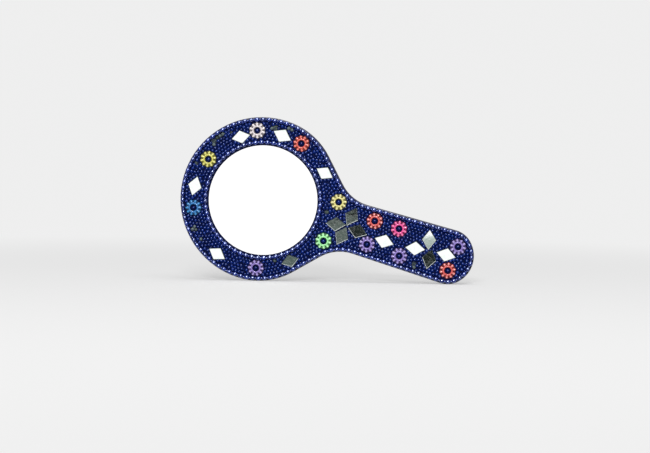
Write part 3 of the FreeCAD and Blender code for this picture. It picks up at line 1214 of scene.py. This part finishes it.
    def build(self, name: str, node: str, gloss: bpy.types.Material, worn: bpy.types.Material) -> None:
        """Sets a bead on every seat of one node.

        Args:
            name: Name of the piece.
            node: CAD node with the beads.
            gloss: Finish of the beads.
            worn: Finish of those in the worn spots.
        """
        seats = bead_seats(node)
        spots = [(spot, self.growth(seats, spot)) for spot in seats]
        seat(self.scatter(name, spots, gloss, worn), "seed_bead", node)

    def fill(self, name: str, node: str, gloss: bpy.types.Material, worn: bpy.types.Material) -> None:
        """Sets smaller beads in the gaps between the beads of one node."""
        spots = self.fillers(bead_seats(node))
        seat(self.scatter(name, spots, gloss, worn), "seed_bead")


@dataclass
class Flowers:
    """Moulded flowers: a round ring with ball-tipped petals and grooves between them.

    Attributes:
        petals: Petals of a flower.
        reach: Distance from the centre to the end of a petal.
        height: Height above the bed.
        ring_radius: Radius of the ring's middle line.
        ring_thickness: Radius of the ring's cross-section.
        petal_radius: Distance from the centre to the middle of a petal.
        petal_length: Half length of a petal.
        petal_width: Half width of a petal.
        petal_height: Half height of a petal.
        tip_radius: Radius of a petal's round tip.
        tip_rise: Height of the tip's middle above the bed.
        tip_slack: How far short of the longest reach a corner of a CAD petal's end may be.
        web_radius: Radius of the middle line of the web between the petals.
        web_width: Half width of the web.
        web_height: Height of the web.
        ring_faces: Faces around the ring and around its cross-section.
        ball_faces: Faces around a petal's ball and from pole to pole.
        fineness: Size of the faces when the forms have grown together.
        smoothing: Strength of one round of smoothing.
        smoothing_rounds: Rounds of smoothing.
        crease: Least angle of an edge that stays sharp.
        top_tone: Tone of the top of the ring and the petals.
        painted_shade_tone: How much darker the tone is towards the bed, as painted shade.
        painted_highlight_tone: How much lighter the tone is on a tip, as a painted highlight.
    """

    petals: int = 10
    reach: float = 5.0 * MM
    height: float = 1.5 * MM
    ring_radius: float = 2.62 * MM
    ring_thickness: float = 0.60 * MM
    petal_radius: float = 3.5 * MM
    petal_length: float = 1.35 * MM
    petal_width: float = 0.74 * MM
    petal_height: float = 0.62 * MM
    tip_radius: float = 0.80 * MM
    tip_rise: float = 0.66 * MM
    tip_slack: float = 0.01 * MM
    web_radius: float = 3.4 * MM
    web_width: float = 1.35 * MM
    web_height: float = 0.55 * MM
    ring_faces: tuple[int, int] = (60, 16)
    ball_faces: tuple[int, int] = (20, 12)
    fineness: float = 0.11 * MM
    smoothing: float = 0.5
    smoothing_rounds: int = 3
    crease: float = math.radians(50)
    top_tone: float = 0.55
    painted_shade_tone: float = 0.95
    painted_highlight_tone: float = 0.45

    @property
    def tip_reach(self) -> float:
        """Gives the distance from the centre to the middle of a petal's tip."""
        return self.reach - self.tip_radius

    def ring(self, radius: float, thickness: float, level: float) -> bpy.types.Object:
        """Adds a ring around the flower's axis.

        Args:
            radius: Radius of its middle line.
            thickness: Radius of its cross-section.
            level: Height of its middle line.

        Returns:
            The ring.
        """
        around, across = self.ring_faces
        bpy.ops.mesh.primitive_torus_add(
            major_radius=radius,
            minor_radius=thickness,
            major_segments=around,
            minor_segments=across,
            location=(0, 0, level),
        )
        return bpy.context.object

    def ball(self, radius: float, place: Matrix) -> bpy.types.Object:
        """Adds a ball for a petal or its tip.

        Args:
            radius: Radius of the ball.
            place: Its place, turn and scale.

        Returns:
            The ball.
        """
        around, rings = self.ball_faces
        bpy.ops.mesh.primitive_uv_sphere_add(segments=around, ring_count=rings, radius=radius)
        ball = bpy.context.object
        ball.matrix_world = place
        return ball

    def model(self) -> bpy.types.Object:
        """Models one flower flat around the origin, with its first petal along X.

        Returns:
            The model, with its tone on every corner.
        """
        bpy.ops.object.select_all(action="DESELECT")
        ring = self.ring(self.ring_radius, self.ring_thickness, self.height - self.ring_thickness)
        web = self.ring(self.web_radius, self.web_width, 0.0)
        bpy.ops.transform.resize(value=(1, 1, self.web_height / self.web_width))
        parts = [ring, web]
        lobe = Matrix.Translation((self.petal_radius, 0, self.height - self.petal_height))
        size = Matrix.Diagonal((self.petal_length, self.petal_width, self.petal_height, 1.0))
        tip = Matrix.Translation((self.tip_reach, 0, self.tip_rise))
        for step in range(self.petals):
            turn = Matrix.Rotation(math.tau * step / self.petals, 4, "Z")
            parts.append(self.ball(1.0, turn @ lobe @ size))
            parts.append(self.ball(self.tip_radius, turn @ tip))
        flower = join(parts, "flower_model")
        apply_modifier(flower, "REMESH", mode="VOXEL", voxel_size=self.fineness)
        apply_modifier(flower, "SMOOTH", factor=self.smoothing, iterations=self.smoothing_rounds)
        bpy.ops.object.mode_set(mode="EDIT")
        bpy.ops.mesh.select_all(action="SELECT")
        bpy.ops.mesh.bisect(plane_co=(0, 0, 0), plane_no=(0, 0, 1), use_fill=True, clear_inner=True)
        bpy.ops.object.mode_set(mode="OBJECT")
        bpy.ops.object.shade_smooth_by_angle(angle=self.crease)
        self.tone(flower)
        return flower

    def tone(self, flower: bpy.types.Object) -> None:
        """Marks the grooves darker towards the bed as painted shade and the petal tips paler as a painted
        highlight.

        Args:
            flower: Model around the origin.
        """
        values = flower.data.attributes.new(TONE, "FLOAT", "POINT")
        for corner, value in zip(flower.data.vertices, values.data):
            reach = math.hypot(corner.co.x, corner.co.y)
            depth = 1.0 - corner.co.z / self.height
            tip = max(0.0, 1.0 - abs(reach - self.tip_reach) / self.tip_radius)
            # Painted shade darkens the tone towards the bed, and a painted highlight lightens the tips.
            tone = self.top_tone - self.painted_shade_tone * depth + self.painted_highlight_tone * tip * (1.0 - depth)
            value.value = min(1.0, max(0.0, tone))

    def petal_angle(self, corners: list[Vector], centre: Vector) -> float:
        """Finds how far a CAD flower's petals are turned.

        Args:
            corners: Corners of the CAD flower.
            centre: Its centre.

        Returns:
            The turn in radians, within one petal's step.
        """
        arms = [(corner.x - centre.x, corner.z - centre.z) for corner in corners]
        limit = max(math.hypot(across, up) for across, up in arms) - self.tip_slack
        angles = [math.atan2(up, across) for across, up in arms if math.hypot(across, up) > limit]
        swing_x = sum(math.cos(self.petals * angle) for angle in angles)
        swing_y = sum(math.sin(self.petals * angle) for angle in angles)
        return math.atan2(swing_y, swing_x) / self.petals

    def plant(self, node: str, model: bpy.types.Object) -> bpy.types.Object:
        """Sets a copy of the model in the place of a CAD flower.

        Args:
            node: CAD node of the flower.
            model: Model of a flower.

        Returns:
            The copy.
        """
        low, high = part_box(node)
        centre = (low + high) / 2
        corners = [corner for part in loose_parts(node) for corner in part]
        turn = Matrix.Rotation(self.petal_angle(corners, centre), 4, "Z")
        place = Matrix.Translation((centre.x, high.y, centre.z)) @ FRONT_TURN @ turn
        piece = placed_copy(model, place)
        piece.name = f"moulded_{node}"
        return piece

    def build(self) -> None:
        """Sets a flower of the right colour on every CAD flower."""
        model = self.model()
        plastics = {plastic.colour.value: plastic.material() for plastic in FLOWER_PLASTICS}
        for name in sorted(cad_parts):
            if name.startswith("flower_") and name != CENTRE_BEADS:
                piece = self.plant(name, model)
                colour = name.rsplit("_", 1)[1]
                dress(piece, plastics[colour])
                seat(piece, f"flower_{colour}", name)
        bpy.data.objects.remove(model)


@dataclass
class CadFinishes:
    """Finishes of the CAD nodes that stay as they are.

    Attributes:
        glass: Node of the round glass.
        board: Node of the board.
        bed: Nodes of the lac on the front.
        lozenge_start: Start of the lozenges' names.
        hollow_lozenge: Node of the lozenge whose glass is hollow.
    """

    glass: str = "mirror_glass"
    board: str = "paddle_board"
    bed: tuple[str, ...] = ("front_lac_bed", "mirror_lac_pad")
    lozenge_start: str = "lozenge_"
    hollow_lozenge: str = "lozenge_13"

    @staticmethod
    def coat(name: str, material: bpy.types.Material) -> None:
        """Dresses one CAD node and reports it."""
        dress(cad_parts[name], material)
        log.info("%s: keeps its solid, in %s", name, material.name)

    def dress(self) -> None:
        """Gives the glass, the board, the lac and the lozenges their finishes."""
        self.coat(self.glass, GLASS_SILVER.material())
        self.coat(self.board, RawBoard().material())
        lac = LacBed().material()
        for name in self.bed:
            self.coat(name, lac)
        flat = LOZENGE_SILVER.material()
        hollow = HOLLOW_SILVER.material()
        for name in sorted(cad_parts):
            if name.startswith(self.lozenge_start):
                self.coat(name, hollow if name == self.hollow_lozenge else flat)


@dataclass(frozen=True)
class SoftLamp:
    """A soft rectangular lamp.

    Attributes:
        name: Name of the lamp.
        place: Where it hangs.
        size: Width and height.
        power: Power in watts.
    """

    name: str
    place: Triple
    size: Range
    power: float

    def hang(self, target: Vector) -> None:
        """Hangs the lamp.

        Args:
            target: Point that it faces.
        """
        data = bpy.data.lights.new(self.name, "AREA")
        data.shape = "RECTANGLE"
        data.size, data.size_y = self.size
        data.energy = self.power
        lamp = bpy.data.objects.new(self.name, data)
        lamp.location = self.place
        lamp.rotation_euler = (target - Vector(self.place)).to_track_quat("-Z", "Y").to_euler()
        lamp.visible_camera = False
        bpy.context.scene.collection.objects.link(lamp)


@dataclass
class Studio:
    """Pale floor, soft lamps, the surroundings that the mirrors show and the camera.

    Directions into the room are given by their parts along X, Y and Z.

    Attributes:
        azimuth: Camera's turn to the right of the front, in degrees.
        elevation: Camera's angle above the level, in degrees.
        roll: Camera's tilt, in degrees.
        distance: Camera's distance from the point that it looks at.
        aim: Point that the camera looks at.
        lens: Focal length in millimetres.
        floor_radius: Radius of the round floor.
        floor_corners: Corners of the floor's edge.
        floor_drop: How far the floor lies under the object.
        floor_colour: Colour of the floor.
        fade: Distances at which the floor starts to fade into the room and has faded.
        evenness: Share of the room's own colour on the floor under the object.
        pale: Colour of the room and the far floor.
        ambient: Even light from all around.
        dim: Colour of the wall ahead in the beads and the lac.
        front_run: Y of the directions where the side ahead starts and where it is full.
        back_wall: Wall behind the object by level, from straight down at 0 to straight up at 1.
        pale_wall: Wall that the clear mirrors show, by level in the same way.
        screen_shades: Colours of the white screen in front and the dim wall above it, by Z.
        screen_range: Lowest and highest Z of those colours.
        screen_middle: X of the screen's middle.
        screen_sides: Distances from the middle where the screen starts to fade and ends.
        screen_foot: Z where the screen starts and where it is full.
        screen_head: Z where the wall above the screen starts to fade and ends.
        lamp_aim: Point that the lamps face.
        lamps: The lamp above the camera and the large one overhead.
    """

    azimuth: float = 4.5
    elevation: float = 2.0
    roll: float = 0.74
    distance: float = 0.936
    aim: Triple = (-0.00095, 0.0, 0.0337)
    lens: float = 85.0
    floor_radius: float = 4.0
    floor_corners: int = 96
    floor_drop: float = 0.02 * MM
    floor_colour: Colour = (0.74, 0.74, 0.74)
    fade: Range = (0.1, 0.7)
    evenness: float = 0.5
    pale: Colour = (0.86, 0.86, 0.86)
    ambient: Colour = (0.30, 0.30, 0.30)
    dim: Colour = (0.015, 0.016, 0.018)
    front_run: Range = (0.1, -0.3)
    back_wall: tuple[Stop, ...] = (
        (0.25, (0.78, 0.78, 0.78)),
        (0.42, (0.48, 0.48, 0.49)),
        (0.50, (0.16, 0.16, 0.17)),
        (0.90, (0.10, 0.10, 0.11)),
    )
    pale_wall: tuple[Stop, ...] = (
        (0.40, (0.62, 0.62, 0.62)),
        (0.50, (0.80, 0.80, 0.80)),
        (0.90, (0.45, 0.46, 0.48)),
    )
    screen_shades: tuple[Stop, ...] = (
        (-0.12, (1.15, 1.15, 1.15)),
        (0.05, (1.15, 1.15, 1.15)),
        (0.064, (0.48, 0.54, 0.51)),
        (0.09, (0.28, 0.325, 0.305)),
        (0.15, (0.10, 0.13, 0.12)),
        (0.177, (0.13, 0.152, 0.142)),
        (0.185, (0.010, 0.014, 0.013)),
        (0.21, (0.020, 0.026, 0.025)),
    )
    screen_range: Range = (-0.2, 0.3)
    screen_middle: float = -0.075
    screen_sides: Range = (0.22, 0.45)
    screen_foot: Range = (-0.17, -0.12)
    screen_head: Range = (0.26, 0.36)
    lamp_aim: Triple = (-0.02, 0.0, 0.05)
    lamps: tuple[SoftLamp, ...] = (
        SoftLamp("front_lamp", place=(-0.04, -1.53, 0.86), size=(0.62, 0.42), power=19.2),
        SoftLamp("overhead_lamp", place=(0.3, -0.5, 2.0), size=(1.8, 1.8), power=24.0),
    )

    def floor(self) -> None:
        """Lays a round pale floor that fades into the pale room with the distance."""
        bpy.ops.object.select_all(action="DESELECT")
        bpy.ops.mesh.primitive_circle_add(
            vertices=self.floor_corners,
            radius=self.floor_radius,
            fill_type="NGON",
        )
        floor = bpy.context.object
        floor.name = "floor"
        floor.location.z = -self.floor_drop
        floor.visible_glossy = False
        sheet = Sheet("pale_floor")
        sheet.set(Base_Color=self.floor_colour, Roughness=1.0, Specular_IOR_Level=0.0)
        reach = sheet.tree.nodes.new("ShaderNodeVectorMath")
        reach.operation = "LENGTH"
        sheet.feed(reach.inputs[0], sheet.place)
        far = sheet.span(reach.outputs["Value"], self.evenness, 1.0, *self.fade, "SMOOTHSTEP")
        path = sheet.tree.nodes.new("ShaderNodeLightPath").outputs
        faded = sheet.tree.nodes.new("ShaderNodeMixShader")
        sheet.feed(faded.inputs["Fac"], sheet.math("MULTIPLY", far, path["Is Camera Ray"]))
        sheet.feed(faded.inputs[1], sheet.surface.outputs["BSDF"])
        sheet.feed(faded.inputs[2], sheet.node("ShaderNodeEmission", Color=self.pale).outputs["Emission"])
        sheet.feed(sheet.tree.nodes["Material Output"].inputs["Surface"], faded.outputs["Shader"])
        dress(floor, sheet.material)

    def screen_stops(self) -> list[Stop]:
        """Lists the screen's colours by height, from 0 to 1 over its range."""
        low, high = self.screen_range
        return [((height - low) / (high - low), colour) for height, colour in self.screen_shades]

    def screen_cover(
        self,
        room: Nodes,
        direction: bpy.types.bpy_prop_collection,
        ahead: bpy.types.NodeSocket,
    ) -> bpy.types.NodeSocket:
        """Marks the part of the room that the screen and the wall above it take up.

        Args:
            room: Node sheet of the surroundings.
            direction: Direction into the room by the names X, Y and Z.
            ahead: Share of the side ahead.

        Returns:
            The cover, from 0 to 1.
        """
        aside = room.math("ABSOLUTE", room.math("SUBTRACT", direction["X"], self.screen_middle))
        across = room.span(aside, 1.0, 0.0, *self.screen_sides, "SMOOTHSTEP")
        foot = room.span(direction["Z"], 0.0, 1.0, *self.screen_foot)
        head = room.span(direction["Z"], 1.0, 0.0, *self.screen_head)
        upright = room.math("MULTIPLY", foot, head)
        return room.math("MULTIPLY", room.math("MULTIPLY", across, ahead), upright)

    def world(self) -> None:
        """Surrounds the object with a pale room and an even light, and sets a white screen in front of it.

        The clear mirrors show the pale room around the screen, and the beads and the lac a dimmer one.
        """
        world = bpy.data.worlds.new("studio")
        bpy.context.scene.world = world
        world.use_nodes = True
        room = Nodes(world.node_tree, "Generated")
        direction = room.parts(room.place)
        path = room.tree.nodes.new("ShaderNodeLightPath").outputs
        ahead = room.span(direction["Y"], 0.0, 1.0, *self.front_run)
        level = room.span(direction["Z"], 0.0, 1.0, -1.0, 1.0)
        dimmed = room.mix(ahead, room.ramp(level, *self.back_wall), self.dim)
        walls = room.mix(path["Is Singular Ray"], dimmed, room.ramp(level, *self.pale_wall))
        height = room.span(direction["Z"], 0.0, 1.0, *self.screen_range)
        screen = room.ramp(height, *self.screen_stops())
        glossy = room.mix(self.screen_cover(room, direction, ahead), walls, screen)
        shown = room.mix(path["Is Glossy Ray"], self.ambient, glossy)
        clear = room.math("MAXIMUM", path["Is Camera Ray"], path["Is Transmission Ray"])
        room.feed(room.tree.nodes["Background"].inputs["Color"], room.mix(clear, shown, self.pale))

    def camera(self) -> None:
        """Sets the camera at the photograph's viewing angle."""
        azimuth = math.radians(self.azimuth)
        elevation = math.radians(self.elevation)
        level = math.cos(elevation)
        back = Vector((math.sin(azimuth) * level, -math.cos(azimuth) * level, math.sin(elevation)))
        data = bpy.data.cameras.new("camera")
        data.lens = self.lens
        camera = bpy.data.objects.new("camera", data)
        camera.location = Vector(self.aim) + back * self.distance
        turn = (-back).to_track_quat("-Z", "Y").to_matrix().to_4x4()
        camera.rotation_euler = (turn @ Matrix.Rotation(math.radians(self.roll), 4, "Z")).to_euler()
        bpy.context.scene.collection.objects.link(camera)
        bpy.context.scene.camera = camera

    def build(self) -> None:
        """Builds the whole studio."""
        bpy.context.scene.view_settings.view_transform = "Standard"
        self.floor()
        self.world()
        for lamp in self.lamps:
            lamp.hang(Vector(self.lamp_aim))
        self.camera()


def main() -> None:
    """Builds and dresses every piece, then the studio."""
    logging.basicConfig(level=logging.INFO, format="%(name)s %(message)s")
    LacShell().build(LacCoat())
    pearl = STRING_PEARL.material()
    navy = SEED_NAVY.material()
    worn = SEED_WORN.material()
    strings = BeadStrings()
    strings.build("rim_string", "rim_beads", pearl)
    strings.build("glass_string", "mirror_ring_beads", pearl)
    seeds = SeedField()
    seeds.build("seed_field", FIELD_BEADS, navy, worn)
    seeds.build("flower_seeds", CENTRE_BEADS, navy, worn)
    seeds.fill("filling_seeds", FIELD_BEADS, navy, worn)
    Flowers().build()
    CadFinishes().dress()
    Studio().build()


if __name__ == "__main__":
    main()
